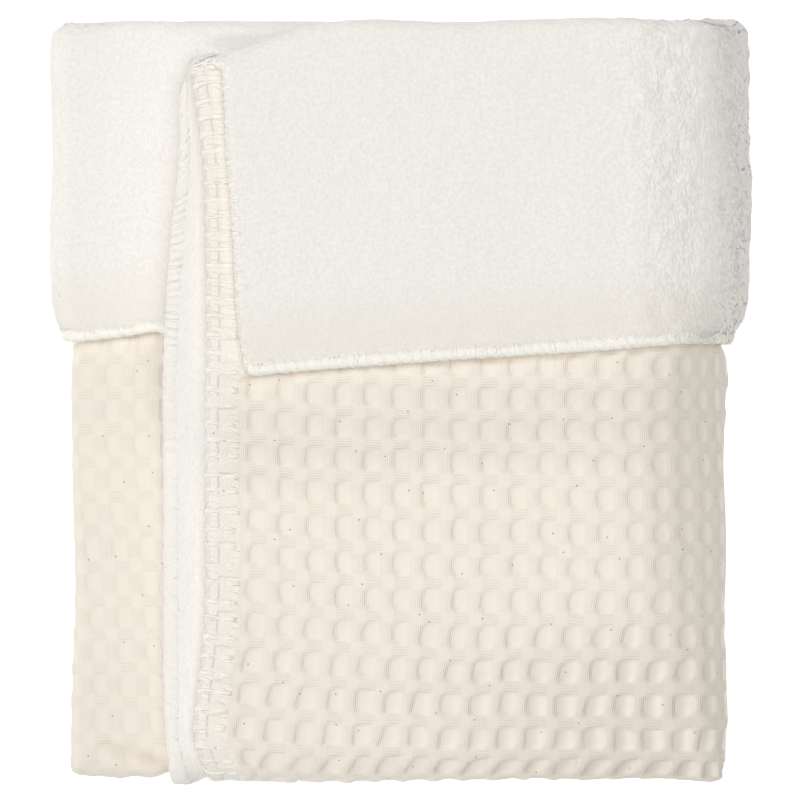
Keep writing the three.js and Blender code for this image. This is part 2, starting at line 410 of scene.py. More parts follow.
def hills(u, v, wide, long, seed):
    """Random values at the points of a lattice, joined by smooth steps in both ways, from -1 to 1."""
    values = np.random.default_rng(seed).uniform(-1, 1, (LATTICE, LATTICE))
    i, j = np.floor(u / wide).astype(int), np.floor(v / long).astype(int)
    a, b = smooth(u / wide - i), smooth(v / long - j)
    i, j, i2, j2 = i % LATTICE, j % LATTICE, (i + 1) % LATTICE, (j + 1) % LATTICE
    return mix(mix(values[i, j], values[i2, j], a), mix(values[i, j2], values[i2, j2], a), b)


# %% [markdown]
# ## A closed sheet of cloth
#
# A panel is one closed mesh. The face that shows has all the points that its relief needs. The face on
# the hidden side is plain, so it takes few points, and the rim joins each rim point of the fine face to
# the nearest one of the plain face. A Solidify modifier would give both faces the same count of points.

# %% Making a mesh
def mesh_object(name, points, quads, triangles, uv=None, rough=None):
    """A mesh object from arrays in millimetres, kept above the floor. rough marks the flat-shaded faces."""
    quads, triangles = np.reshape(quads, (-1, 4)), np.reshape(triangles, (-1, 3))
    points = np.array(points, float)
    points[:, 2] = np.maximum(points[:, 2], 0)
    mesh = bpy.data.meshes.new(name)
    corners = np.concatenate([quads.ravel(), triangles.ravel()]).astype(np.int32)
    sizes = np.repeat([4, 3], [len(quads), len(triangles)]).astype(np.int32)
    mesh.vertices.add(len(points))
    mesh.vertices.foreach_set("co", (points * MM).astype(np.float32).ravel())
    mesh.loops.add(len(corners))
    mesh.loops.foreach_set("vertex_index", corners)
    mesh.polygons.add(len(sizes))
    mesh.polygons.foreach_set("loop_start", (np.cumsum(sizes) - sizes).astype(np.int32))
    mesh.polygons.foreach_set("use_smooth", np.ones(len(sizes), bool) if rough is None else ~rough)
    if uv is not None:
        layer = mesh.uv_layers.new(name="cloth")
        layer.data.foreach_set("uv", np.asarray(uv, np.float32)[corners].ravel())
    mesh.update(calc_edges=True)
    mesh.validate()
    print(name, "has", len(points), "points and", 2 * len(quads) + len(triangles), "triangles")
    return placed(name, mesh)


def give(piece, name, values):
    """Stores a number for each point of a panel's fine face, and 0 for the others, for its material."""
    every = np.zeros(len(piece.data.vertices), np.float32)
    every[:values.size] = values.ravel()
    piece.data.attributes.new(name, "FLOAT", "POINT").data.foreach_set("value", every)


# %% Making a closed sheet
def spaced(stations, spacing):
    """Indices of stations about a spacing apart, the first and the last among them."""
    steps = np.diff(stations) / spacing[1:]
    turns = np.floor(np.concatenate([[0], np.cumsum(steps)]) + 1e-9)
    keep = np.flatnonzero(np.diff(turns, prepend=-1) > 0)
    return np.unique(np.append(keep, len(stations) - 1))


def grid_quads(n):
    """The quads between the neighbours in a grid of numbers of points."""
    ring = [n[..., :-1, :-1], n[..., 1:, :-1], n[..., 1:, 1:], n[..., :-1, 1:]]
    return np.stack(ring, axis=-1).reshape(-1, 4)


def around(n):
    """The numbers round the rim of a grid."""
    return np.concatenate([n[:-1, 0], n[-1, :-1], n[:0:-1, -1], n[0, :0:-1]])


def closed_sheet(name, net_places, fine, back_depth, spacing_across, spacing_along, flip=False):
    """A fine face, a plain face at a depth through stations at a spacing, and a rim between the two."""
    across, along, places, ways = net_places
    keep_across, keep_along = spaced(across, spacing_across), spaced(along, spacing_along)
    kept = np.ix_(keep_across, keep_along)
    plain = cloth(places[kept], ways[kept], back_depth)
    number = np.arange(places.size).reshape(places.shape)
    plain_number = places.size + np.arange(places[kept].size).reshape(places[kept].shape)
    near_i = np.abs(np.arange(len(across))[:, None] - keep_across).argmin(axis=1)
    near_j = np.abs(np.arange(len(along))[:, None] - keep_along).argmin(axis=1)
    here, there = around(number), around(plain_number[near_i][:, near_j])
    after, there_after = np.roll(here, -1), np.roll(there, -1)
    same = there == there_after
    rim_quads = np.stack([here, after, there_after, there], axis=-1)[~same]
    rim_triangles = np.stack([here, after, there], axis=-1)[same]
    way = -1 if flip else 1
    faces = [grid_quads(number)[:, ::-way], grid_quads(plain_number)[:, ::way], rim_quads[:, ::way]]
    points = np.concatenate([fine.reshape(-1, 3), plain.reshape(-1, 3)])
    uv = np.stack(np.meshgrid(across, along, indexing="ij"), axis=-1) * MM
    uv = np.concatenate([uv.reshape(-1, 2), uv[kept].reshape(-1, 2)])
    quads = np.concatenate(faces)
    rough = np.arange(len(quads) + len(rim_triangles)) >= len(quads) - len(rim_quads)
    return mesh_object(name, points, quads, rim_triangles[:, ::way], uv, rough)


# %% [markdown]
# ## The waffle panel
#
# A waffle weave has long floating threads that draw up into ridges, with a sunken pit in each cell. A
# bump in the material would look the same from above, but not at the outline, so the pits are in the
# mesh. The stations of its net are closest together at the walls of the pits, so that few points give
# crisp cells.

# %% The net of the weave
CELL_WIDE, CELL_LONG = 11.93, 14.3
# The stations of one cell, as shares of the way from one ridge to the next.
CELL_STATIONS = np.array([0, 0.10, 0.15, 0.20, 0.26, 0.38, 0.51, 0.64, 0.77, 0.89])
# Lengths of cloth across: the first ridge, the end of the right fold, where ply 2 starts in the left fold
# and the end of the cloth, and how far the cells reach before and after the start of ply 2.
FIRST_RIDGE, AFTER_RIGHT, LEFT_START, WIDE_END = 15.0, 243.0, 42 * CELL_WIDE + 7.5, 985.0
LEFT_BEFORE, LEFT_AFTER = 22.0, 37.0
# Lengths of cloth along: where Y is about 0 on the front, how far the cells reach before and after that, the
# end of the cloth, how far before the middle a ridge lies, and how far up all rows are moved.
FRONT_MIDDLE, HEM_SHOWS, BOTTOM_SHOWS, LONG_END, RIDGE_AT, ROWS_UP = 296.0, 30.0, 204.0, 735.0, 8.4, 4.7
# How far the rows sink towards the right and on the left panel, and how far the columns drift there.
SINK_RIGHT, SINK_LEFT, LEFT_DRIFT = 5.8, 10.4, 5.7
INNER_FOLD = (756, 774)  # the lengths across between which the inner right fold turns
STITCH = 7.5  # pitch of the overlock along the side edges


def cell_stations(start, stop, pitch, origin):
    """The stations of whole cells between two lengths, with the ridges at whole pitches from the origin."""
    first, last = int(np.floor((start - origin) / pitch)), int(np.ceil((stop - origin) / pitch))
    stations = origin + pitch * (np.arange(first, last)[:, None] + CELL_STATIONS).ravel()
    return stations[(stations > start) & (stations < stop)]


def steps(start, stop, spacing):
    """Even stations from one length up to, but not with, another."""
    return np.linspace(start, stop, max(int(round((stop - start) / spacing)), 1), endpoint=False)


def row_shift(across):
    """The rows sink towards the right along an exponential, and lie lower still on the left panel."""
    right = SINK_RIGHT * (1 - np.exp(-np.maximum(across - FIRST_RIDGE, 0) / 45))
    left = np.interp(across, [AFTER_RIGHT, LEFT_START - LEFT_BEFORE], [SINK_RIGHT, SINK_LEFT])
    return np.where(across > AFTER_RIGHT, left, right)


def left_slip(depth):
    """How far the columns of the left panel drift to the right towards the bottom, by a parabola."""
    y = cloth(np.full(len(FINE_ALONG), float(LEFT_PANEL)), FINE_ALONG, depth)[:, 1]
    shows = (FINE_ALONG > FRONT_PART) & (FINE_ALONG < BOTTOM_TURN + 1)
    return np.where(shows, LEFT_DRIFT * (np.minimum(y + 1.2, 0) / 126) ** 2, 0)


def across_marks(right_end, left_before, left_after, edge, slip=0):
    """Nominal and real lengths at the right part's end, round the left fold, and at the inner edge."""
    left = int(np.flatnonzero(FINE_ACROSS == LEFT_PANEL)[0])
    nominal = [0, right_end, LEFT_START - left_before, LEFT_START + left_after, WIDE_END - edge, WIDE_END]

    def measured(real):
        at, end = real[:, left] + slip, real[:, -1]
        start = np.zeros(len(end))
        return [start, start + right_end, at - left_before, at + left_after, end - edge, end]

    return nominal, measured


def along_marks(shift):
    """Nominal and real lengths at the hem, round the part that shows, and at the back's end."""
    nominal = [0, FRONT_MIDDLE - HEM_SHOWS, FRONT_MIDDLE + BOTTOM_SHOWS, LONG_END]

    def measured(real, columns, across):
        front = (FINE_ALONG >= FRONT_PART) & (FINE_ALONG <= BOTTOM_TURN)
        y = columns[:, front, 1]
        middle = row_by_row(np.zeros((len(y), 1)), -y, real[:, front])[:, 0] + shift(across)
        end = real[:, -1]
        return [np.zeros(len(end)), middle - HEM_SHOWS, middle + BOTTOM_SHOWS, end]

    return nominal, measured


def run(start, *spans):
    """Stations from a start on: up to each span's end at its spacing, and the last end itself."""
    ends = [start] + [end for end, _ in spans]
    parts = [steps(a, b, spacing) for a, (b, spacing) in zip(ends, spans)]
    return np.concatenate(parts + [ends[-1:]])


LEFT_FROM, LEFT_TO = LEFT_START - LEFT_BEFORE, LEFT_START + LEFT_AFTER
waffle_across = np.concatenate([
    [0, 1.6, 3.2, 4.8, 6.2, 7.0, 7.8, 9.2, 11.0, 13.0],
    cell_stations(14.5, AFTER_RIGHT, CELL_WIDE, FIRST_RIDGE),
    steps(AFTER_RIGHT, LEFT_FROM, 14),
    cell_stations(LEFT_FROM, LEFT_TO, CELL_WIDE, FIRST_RIDGE),
    run(LEFT_TO, (INNER_FOLD[0], 15), (INNER_FOLD[1], 2), (WIDE_END, 15)),
])
ridge_row = FRONT_MIDDLE - RIDGE_AT
SHOWS_FROM, SHOWS_TO = FRONT_MIDDLE - HEM_SHOWS, FRONT_MIDDLE + BOTTOM_SHOWS
waffle_along = np.concatenate([
    run(0, (128, 12), (152, 2), (SHOWS_FROM, 1.9))[:-1],
    cell_stations(SHOWS_FROM, SHOWS_TO, CELL_LONG, ridge_row),
    run(SHOWS_TO, (LONG_END, 14)),
])
waffle_places, waffle_ways = net(
    CLEAR, waffle_across, waffle_along,
    across_marks(AFTER_RIGHT, LEFT_BEFORE, LEFT_AFTER, 25, left_slip(CLEAR)),
    along_marks(lambda across: row_shift(across) - ROWS_UP),
)
waffle_net = (waffle_across, waffle_along, waffle_places, waffle_ways)
print("waffle net:", waffle_places.shape)

# %% [markdown]
# ## The pits and ridges
#
# Each pit is a rounded box pressed into the cloth. Light comes from the left, so the left wall of a pit
# is what the eye sees: it is steep, most of all at its lower end, and the others are soft. Near the
# bottom the cloth hangs freer, and its pits are larger and deeper. Spheres cut out of the sheet would be
# simpler, but their rims would be sharp circles. The pits are shifted a little at random, and each has
# its own depth. They are left out where a ply covers them.

# %% Where the cells show
waffle_u, waffle_v = np.meshgrid(waffle_across, waffle_along, indexing="ij")
level_cloth = cloth(waffle_places, waffle_ways, CLEAR)
level_x, level_y = level_cloth[..., 0], level_cloth[..., 1]


def shown_cells(u, v, x, y, ways):
    """1 on the front half and round the bottom, and 0 where a ply covers the cells, along smooth steps."""
    across = np.maximum(over(u, 9.5, AFTER_RIGHT - 1, 4), over(u, LEFT_FROM, LEFT_TO, 4))
    along = over(v, SHOWS_FROM, SHOWS_TO, 5)
    below_hem = smooth((read(ROWS, x, "hem") + 0.8 - y) / 2)
    beside_edge = smooth((read(LINES, y, "innerEdge") - 0.5 - x) / 4)
    beside_edge = np.where(u > LEFT_START - 5, beside_edge, 1)
    return across * along * below_hem * np.maximum(beside_edge, ways > BOTTOM_TURN + 0.5)


shown = shown_cells(waffle_u, waffle_v, level_x, level_y, waffle_ways)
low = smooth((waffle_v - FRONT_MIDDLE - 75) / 60)
print("share of the points where cells show:", shown.mean().round(2))

# %% The relief of the weave
PIT_HALF_WIDE, PIT_HALF_LONG, PIT_CORNER, PIT_DEPTH, RIDGE_RISE = 4.1, 4.7, 3.5, 0.50, 0.25
SKEW = 0.45  # how far the lowest pits slant to the left for each millimetre down


def cell_place(values, pitch, origin):
    """The number of the cell, and the distance from its middle."""
    cell = np.floor((values - origin) / pitch)
    return cell.astype(int), values - origin - (cell + 0.5) * pitch


def waffle_relief(u, v, low):
    """A rounded box pressed in for each pit, steepest at its lower left, and a rounded rise on the ridges.

    low is 1 near the bottom of the bundle. Next to the hem the left walls bulge inwards, as bell curves.
    Returns the depth, the painted shade of the steep walls at each place, and the other painted shade.
    """
    column, dx = cell_place(u, CELL_WIDE, FIRST_RIDGE)
    row, dy = cell_place(v, CELL_LONG, ridge_row)
    dice = np.random.default_rng(4)
    odd = [dice.uniform(-1, 1, (101, 103))[column % 101, row % 103] for _ in range(5)]
    dx, dy = dx + 0.3 * odd[0], dy + 0.4 * odd[1]
    front = u < AFTER_RIGHT
    firm = low * front
    dx = dx + SKEW * smooth((v - FRONT_MIDDLE - 132) / 24) * front * dy
    half_wide = PIT_HALF_WIDE * (1 + 0.07 * odd[2] + 0.13 * firm * smooth((u - 90) / 70))
    half_long = PIT_HALF_LONG * (1 + 0.07 * odd[3])
    by_hem = (1 - smooth((v - FRONT_MIDDLE - 25) / 45)) * (1 - smooth((u - 95) / 60)) * front
    bulge = 1.5 * by_hem * bell((dx + 5.9) / 2.6) * bell(dy / 3.2)
    rounder = (1 - by_hem) * (1 - firm) * np.minimum(np.abs(dy) / half_long, 1) ** 2 * front
    dx = dx * (1 + 0.22 * rounder)
    corner = PIT_CORNER - 1.1 * firm
    qx, qy = np.abs(dx) - half_wide + corner, np.abs(dy) - half_long + corner
    outside = np.hypot(np.maximum(qx, 0), np.maximum(qy, 0)) + np.minimum(np.maximum(qx, qy), 0) - corner
    outside = outside + bulge + 0.35 * hills(u, v, 2.9, 3.3, 17) + 0.25 * hills(u, v, 6.1, 5.3, 18)
    to_right, down = smooth(0.5 + dx / 5), smooth(0.5 + dy / 6)
    wall = 0.75 + (2.3 - 1.1 * firm) * to_right + (1.7 - firm) * (1 - down)
    pit = smooth(0.35 - outside / wall) * PIT_DEPTH * (1 + 0.2 * odd[4])
    ridge = RIDGE_RISE * smooth((outside + 0.3) / 2.2)
    steep = bell((outside + 0.1) / 0.5) * (1 - to_right) * (0.42 + 0.58 * down) * (1 + 0.25 * odd[3])
    inside = smooth(0.3 - outside)
    shade = (0.52 * smooth((u - 140) / 70) + 0.35 * smooth((u - 205) / 18)) * (1 - low) * front
    shade = shade + firm * (0.25 + smooth((u - 60) / 140))
    shade = shade * (0.78 - 0.90 * inside * to_right + 0.38 * inside * (1 - to_right))
    return pit - ridge, steep, shade + 0.6 * (0.45 + 0.35 * low) * ~front


def band_relief(u, v):
    """Soft lobes along the overlocked edge with creases between them, puffed up between the threads."""
    puff = 0.7 + 0.25 * np.cos(2 * np.pi * (v - 3) / STITCH - np.pi) + 0.45 * hills(u, v, 3.1, 2.6, 16)
    upper = 1 - smooth((v - 230) / 70)
    lobes = bell((u - 3.6) / 2.0) + 0.8 * bell((u - 10.6) / 2.0) + 0.7 * bell((u - 7.1) / 1.8) * (1 - upper)
    middle = 7.0 + 0.5 * hills(u, v, 50, 4.1, 25)
    crease = bell((u - middle) / 0.8) * (0.95 + 0.4 * hills(u, v, 50, 2.6, 19))
    return 0.3 * crease * upper - 0.45 * lobes * puff


depth, steep, shade = waffle_relief(waffle_u, waffle_v, low)
band = band_relief(waffle_u, waffle_v) * over(waffle_v, 140, LONG_END - 5, 12)
print("pits and ridges in mm:", depth.max().round(2), depth.min().round(2))

# %% [markdown]
# ## Unevenness of the whole panel
#
# Cloth that has been folded by hand shows more than its weave. The columns drift, and lean near the
# bottom. The relief is flatter on the left panel and round the bottom. The cloth is crumpled where the
# left panel meets the bottom, and a shallow trough runs across above it. Each is a smooth term of its
# own, since they could not be told apart in one random pattern.

# %% Drift, hollows and creases
LEAN = 6.3  # how far the columns lean to the left at the very bottom
MOST_RELIEF = 1.45


def cell_hills(seed):
    """Hills as wide and as long as the cells."""
    return hills(waffle_u - FIRST_RIDGE, waffle_v - ridge_row, CELL_WIDE, CELL_LONG, seed)


drift_u = 0.5 * cell_hills(11) + 0.7 * hills(waffle_u, waffle_v, 47, 59, 12)
drift_v = 0.6 * cell_hills(13) + 0.7 * hills(waffle_u, waffle_v, 53, 41, 14)
leaning = LEAN * smooth((waffle_v - FRONT_MIDDLE - 140) / 26)
leaning = leaning * smooth((waffle_u - 14) / 16) * (1 - smooth((waffle_u - 160) / 48))
looser = shown * (1 + 0.5 * low)
by_row = np.broadcast_to(waffle_across, waffle_places.T.shape)
places = row_by_row((waffle_u + looser * drift_u - shown * leaning).T, by_row, waffle_places.T).T
by_column = np.broadcast_to(waffle_along, waffle_ways.shape)
ways = row_by_row(waffle_v + looser * drift_v, by_column, waffle_ways)

on_left, on_front = waffle_u > AFTER_RIGHT, waffle_ways < BOTTOM_TURN
in_turn = waffle_ways > BOTTOM_TURN + 0.6
strength = 1 + 0.65 * low * smooth((waffle_u - 30) / 120) * ~in_turn
strength = strength * (1 - 0.45 * low * smooth((waffle_u - 210) / 16))
strength = np.where(on_left, 0.52, strength) * np.where(in_turn, 0.6, 1.0)
soft = np.where(waffle_ways > BOTTOM_TURN, 0.70, 0.35) * hills(waffle_u, waffle_v, 26, 33, 15)
soft = soft + 0.8 * bell((level_y + 119) / 5) * over(waffle_u, 80, AFTER_RIGHT, 22) * on_front
from_line = level_y + 142 + 0.31 * (level_x + 125.7)
low_left = on_left * smooth((level_x + 127) / 8) * ~in_turn
crumple = bell(from_line / 2.2) * low_left
soft = soft + 1.9 * crumple - 1.2 * bell((from_line + 5.5) / 3) * low_left
soft = soft - 0.7 * np.abs(hills(waffle_u, waffle_v, 9, 30, 24)) * (waffle_ways > BOTTOM_TURN + 0.1)
relief = np.minimum((depth * strength + soft) * shown, MOST_RELIEF) + band
print("relief in mm:", relief.min().round(2), "to", relief.max().round(2))

# %% The waffle panel
waffle = closed_sheet(
    "waffle_panel", waffle_net, cloth(places, ways, CLEAR + relief), CLEAR + WAFFLE,
    np.where((waffle_across < 45) | (np.abs(waffle_across - 766) < 10), 5, 13),
    np.where(np.abs(waffle_along - 139) < 13, 4, 11),
)
# Painted shade, which the material makes a little darker: just under the hem, the pits' walls and the
# crease.
under_hem = bell((read(ROWS, level_x, "hem") - 1.7 - level_y) / 0.9)
under_hem = under_hem * (0.55 + 0.45 * hills(waffle_u, waffle_v, 4.3, 30, 20))
steep = steep * np.where(shown > 0.2, shown, 0) * np.where(on_left, 0.45, 1 + 0.15 * low)
give(waffle, "cells", shown)
give(waffle, "wall", steep + 2.1 * under_hem * on_front + 0.9 * crumple)
give(waffle, "shade", shade * smooth(shown * 3))

# %% [markdown]
# ## The plush panel
#
# The lining is a short, dense pile. From a step away it shows as a white surface with small soft clumps.
# Hair all over would take millions of strands, so the panel gets low hills in two sizes, and short tufts
# are laid only where the pile shows against something. The turned-down flap pushes up the ply behind its
# top edge.

# %% The net of the plush
PLUSH_FACE, PLUSH_BACK = PLY - CLEAR, CLEAR + WAFFLE + BETWEEN
PLUSH_RIGHT, PLUSH_BEFORE, PLUSH_AFTER, PLUSH_END = 275.0, 35.0, 37.0, 25.0
PLUSH_STEP = 1.6
HOOK_END = 170.0  # the length of cloth along from the hem to past the top
FILLET = 10.2  # how far the flap pushes up the ply behind it
PLUSH_FROM, PLUSH_TO = LEFT_START - PLUSH_BEFORE, LEFT_START + PLUSH_AFTER
plush_across = run(
    0, (PLUSH_RIGHT, PLUSH_STEP), (PLUSH_FROM, 14), (PLUSH_TO, PLUSH_STEP), (PLUSH_TO + 80, 4),
    (INNER_FOLD[0], 15), (INNER_FOLD[1], 3), (WIDE_END - PLUSH_END, 15), (WIDE_END, PLUSH_STEP),
)
plush_along = run(0, (HOOK_END, PLUSH_STEP), (500, 3.5), (LONG_END, 14))
plush_places, plush_ways = net(
    PLUSH_FACE, plush_across, plush_along,
    across_marks(PLUSH_RIGHT, PLUSH_BEFORE, PLUSH_AFTER, PLUSH_END),
    ([0, LONG_END], lambda real, columns, across: [np.zeros(len(real)), real[:, -1]]),
)
print("plush net:", plush_places.shape)

# %% The surface of the plush
plush_u, plush_v = np.meshgrid(plush_across, plush_along, indexing="ij")
worn = 1.7 * smooth((plush_u - 140) / 70) * (plush_u < PLUSH_RIGHT)
worn = 0.4 + worn + 0.4 * smooth((16 - plush_v) / 16)
slanted = (plush_u - plush_v) * 0.7 + 300, (plush_u + plush_v) * 0.7
clumps = 0.30 * hills(*slanted, 3.3, 5.5, 21) + 0.28 * hills(plush_u, plush_v, 7.5, 6.5, 22)
waves = 0.35 * hills(plush_u, plush_v, 29, 23, 23)
pulled = np.exp(-plush_u / 5) * (0.4 + 0.4 * np.cos(2 * np.pi * (plush_v - 3) / STITCH))
fine_zone = np.maximum(over(plush_u, -1, PLUSH_RIGHT, 1), over(plush_u, PLUSH_FROM, PLUSH_TO, 1))
fine_zone = fine_zone * over(plush_v, -1, HOOK_END + 30, 1)
rounded = 0.9 * smooth(1 - plush_v / 3.2) + 0.8 * smooth(1 - plush_u / 2.6)
rounded = rounded + 1.0 * smooth((plush_u - WIDE_END + 6) / 6)
level_cloth = cloth(plush_places, plush_ways, PLUSH_FACE)
level_x, level_y = level_cloth[..., 0], level_cloth[..., 1]
past_flap = level_y - (read(ROWS, level_x, "flapTop") + PLY - CLEAR)
pushed_up = smooth((past_flap + 5.3) / 3.5) * (1 - smooth(past_flap / 20)) * (plush_ways < 1)
pushed_up = pushed_up * smooth((read(ROWS, level_x, "top") - level_y) / 9)
pushed_up = pushed_up * over(level_x, -84, -26, 12) * ((plush_places > 4) & (plush_places < 5))
plush_relief = (clumps * worn + waves - pulled) * fine_zone - rounded + FILLET * pushed_up
plush = closed_sheet(
    "plush_panel", (plush_across, plush_along, plush_places, plush_ways),
    cloth(plush_places, plush_ways, PLUSH_FACE + plush_relief), PLUSH_BACK,
    np.where((plush_across < 45) | (np.abs(plush_across - 766) < 10), 5, 12),
    np.where(np.abs(plush_along - 145) < 30, 5, 10), flip=True,
)

# %% [markdown]
# ## Threads
#
# The four edges are overlocked: thread goes over the edge again and again, and loops run along it. Curves
# with a bevel would be an object for each thread, so each is a closed tube with few sides along a row of
# points, and one mesh holds all those of an edge.

# %% Tubes along paths
def unit(vectors):
    """The vectors, each divided by its length."""
    return vectors / np.maximum(np.linalg.norm(vectors, axis=-1, keepdims=True), 1e-9)


def tubes(paths, beside, radius, sides=5):
    """Rings round the points of each path, and a point at each end. beside lies across the paths.

    A ring's point is the path's point plus the radius times (cos a times one normal plus sin a times the
    other). Returns the points, the quads and the triangles.
    """
    count, long = paths.shape[:2]
    radius = np.broadcast_to(radius, (count, long))[..., None, None]
    ahead = unit(np.gradient(paths, axis=1))
    one = unit(np.cross(ahead, beside))
    two = np.cross(one, ahead)
    angle = 2 * np.pi * np.arange(sides)[:, None] / sides
    rings = np.cos(angle) * one[..., None, :] + np.sin(angle) * two[..., None, :]
    rings = paths[..., None, :] + radius * rings
    ends = [0, -1]
    tips = paths[:, ends] + np.array([[-1], [1]]) * ahead[:, ends] * radius[:, ends, 0]
    number = np.arange(count * long * sides).reshape(count, long, sides)
    number = np.concatenate([number, number[..., :1]], axis=2)
    first, last = (count * long * sides + 2 * np.arange(count)[:, None] + end for end in (0, 1))
    first, last = (np.broadcast_to(tip, (count, sides)) for tip in (first, last))
    start = np.stack([first, number[:, 0, :-1], number[:, 0, 1:]], axis=-1)
    stop = np.stack([last, number[:, -1, 1:], number[:, -1, :-1]], axis=-1)
    points = np.concatenate([rings.reshape(-1, 3), tips.reshape(-1, 3)])
    return points, grid_quads(number), np.concatenate([start, stop]).reshape(-1, 3)


def joined(name, parts):
    """One mesh object from the points, quads and triangles of several sets of tubes."""
    starts = np.cumsum([0] + [len(points) for points, _, _ in parts])
    points = np.concatenate([part[0] for part in parts])
    quads = np.concatenate([part[1] + at for part, at in zip(parts, starts)])
    triangles = np.concatenate([part[2] + at for part, at in zip(parts, starts)])
    return mesh_object(name, points, quads, triangles)


# %% [markdown]
# ## Places beside an edge
#
# A thread is drawn on the cloth: how far along the edge, how far in from it, how deep between the waffle
# side (0) and the plush side (1), and how far out past the edge. The net of the waffle turns that into a
# point, so that the threads follow every fold.


# %% Points beside an edge
WAFFLE_NET = (*waffle_net, np.zeros_like(waffle_places))
PLUSH_NET = (plush_across, plush_along, plush_places, plush_ways, plush_relief)


def on_net(u, v, depth, net=WAFFLE_NET):
    """Reads a net between its points, in both ways, and gives the points of the cloth."""
    across, along, *tables = net
    u, v = np.clip(u, 0, WIDE_END), np.clip(v, 0, LONG_END)
    i = np.clip(np.searchsorted(across, u, side="right") - 1, 0, len(across) - 2)
    j = np.clip(np.searchsorted(along, v, side="right") - 1, 0, len(along) - 2)
    a = (u - across[i]) / (across[i + 1] - across[i])
    b = (v - along[j]) / (along[j + 1] - along[j])
    near, far = ([mix(t[i, k], t[i + 1, k], a) for t in tables] for k in (j, j + 1))
    places, ways, relief = (mix(here, there, b) for here, there in zip(near, far))
    return cloth(places, ways, depth + relief)


# The two lengths of cloth at a place so far along each edge and so far in from it.
EDGES = {
    "outer_edge": lambda along, inward: (inward, along),
    "inner_edge": lambda along, inward: (WIDE_END - inward, along),
    "hem": lambda along, inward: (along, inward),
    "back_end": lambda along, inward: (along, LONG_END - inward),
}


def beside_edge(edge, along, inward, share, out):
    """The points for arrays of places beside an edge, and the direction out of the cloth there."""
    along, inward, share, out = np.broadcast_arrays(along, inward, share, out)
    depth = CLEAR + share * (PLY - 2 * CLEAR)
    rim, inside = (on_net(*EDGES[edge](along, np.full_like(inward, at)), depth) for at in (0, 2.5))
    outward = unit(rim - inside)
    return on_net(*EDGES[edge](along, inward), depth) + outward * out[..., None], outward


# %% [markdown]
# ## Three kinds of edge thread
#
# Stitches go over the edge one beside another. Where the thread is teased up, single threads can't be
# told apart any more, so there a soft roll with lumps wraps the edge. And cords run along it, as loops
# do.

# %% Stitches, rolls and cords
def edge_stitches(edge, start, stop, pitch, way, radius, slant, seed, strands, reach=0.0):
    """Threads over an edge at each pitch, along a way from the waffle side round to the plush side.

    Each is a line across the edge that leans by its slant and by a weak sine, with random shifts.
    """
    dice = np.random.default_rng(seed)
    middle = np.arange(start, stop, pitch)[:, None]
    middle = middle + dice.uniform(-0.10, 0.10, middle.shape) * pitch
    inward = way["inward"] * dice.uniform(0.92, 1.08, middle.shape)
    share = way["share"] + dice.uniform(-0.035, 0.035, middle.shape)
    parts = []
    for strand in range(strands):
        aside = (strand - (strands - 1) / 2) * reach * 2
        lean = slant * way["inward"] + dice.uniform(-0.3, 0.3, middle.shape)
        lean = lean + 0.25 * np.sin(way["inward"] * 0.5 + dice.uniform(0, 6, middle.shape))
        points, _ = beside_edge(edge, middle + aside + lean, inward, share, way["out"])
        aim = unit(np.gradient(points, axis=0))
        parts.append(tubes(points, aim, radius * dice.uniform(0.85, 1.15, middle.shape)))
    return parts


def edge_roll(edge, start, stop, pitch, way, height, uneven, seed, spacing=0.6):
    """A soft roll of thread that wraps an edge along a way, with lumps at each pitch that lean a little.

    Its outer skin lies over the way by the height times the lumps times the root of sin over the way, and
    its inner skin lies just under it. Between 150 and 300 mm along, it is flatter.
    """
    along = np.arange(start, stop, spacing)[:, None]
    count = len(way["inward"])
    k = np.arange(count)
    spine, _ = beside_edge(edge, along, way["inward"], way["share"], way["out"])
    out = unit(np.cross(np.gradient(spine, axis=0), np.gradient(spine, axis=1)))
    out = out * np.sign(np.sum(out * (spine - spine.mean(axis=1, keepdims=True))))
    beat = along / pitch + 0.10 * k + 0.35 * hills(along, along * 0, 9, 9, seed)
    lumps = 1 - uneven * (1 - np.abs(np.sin(np.pi * beat)) ** 0.7)
    lumps = lumps + 0.7 * uneven * hills(along + 0 * k, 3.0 * k + 0 * along, 1.7, 3.4, seed + 1)
    height = height * (1 - 0.7 * over(along, 150, 300, 50))
    rise = height * np.sqrt(np.sin(np.pi * (k + 0.5) / count)) * lumps
    rings = np.concatenate([spine + rise[..., None] * out, (spine - 0.35 * out)[:, ::-1]], axis=1)
    number = np.arange(rings.shape[0] * rings.shape[1]).reshape(rings.shape[:2])
    after = np.roll(number, -1, axis=1)
    sides = np.stack([number[:-1], after[:-1], after[1:], number[1:]], axis=-1).reshape(-1, 4)
    ends, back = number[[0, -1]], number[[0, -1], ::-1]
    caps = np.stack([ends[:, :-1], ends[:, 1:], back[:, 1:], back[:, :-1]], axis=-1)[:, :count - 1]
    quads = np.concatenate([sides, caps[0][:, ::-1], caps[1]])
    a, b, c, d = (rings.reshape(-1, 3)[quads[:, i]] for i in range(4))
    inside_out = np.sum(a * np.cross(b, c)) + np.sum(a * np.cross(c, d)) < 0
    return rings.reshape(-1, 3), quads[:, ::-1] if inside_out else quads, np.zeros((0, 3), int)


def edge_cord(edge, start, stop, pitch, share, out, swing, radius, steps_each=8):
    """A thread along an edge that swings in and out once in each pitch, by a cosine, as loops do."""
    along = np.arange(start, stop, pitch / steps_each)
    phase = 2 * np.pi * along / pitch
    inward = swing * (0.5 + 0.5 * np.cos(phase))
    points, outward = beside_edge(edge, along + 0.12 * pitch * np.sin(phase), inward, share, out)
    return tubes(points[None], outward[None], radius)


# %% [markdown]
# ## The stitches of the four edges
#
# Each way is a short table: from the needle line on the waffle side over the edge to the plush side. The
# outer edge keeps its band of stitches in sight. At the inner edge and the hems the thread is a soft roll
# with a few fine threads over it.

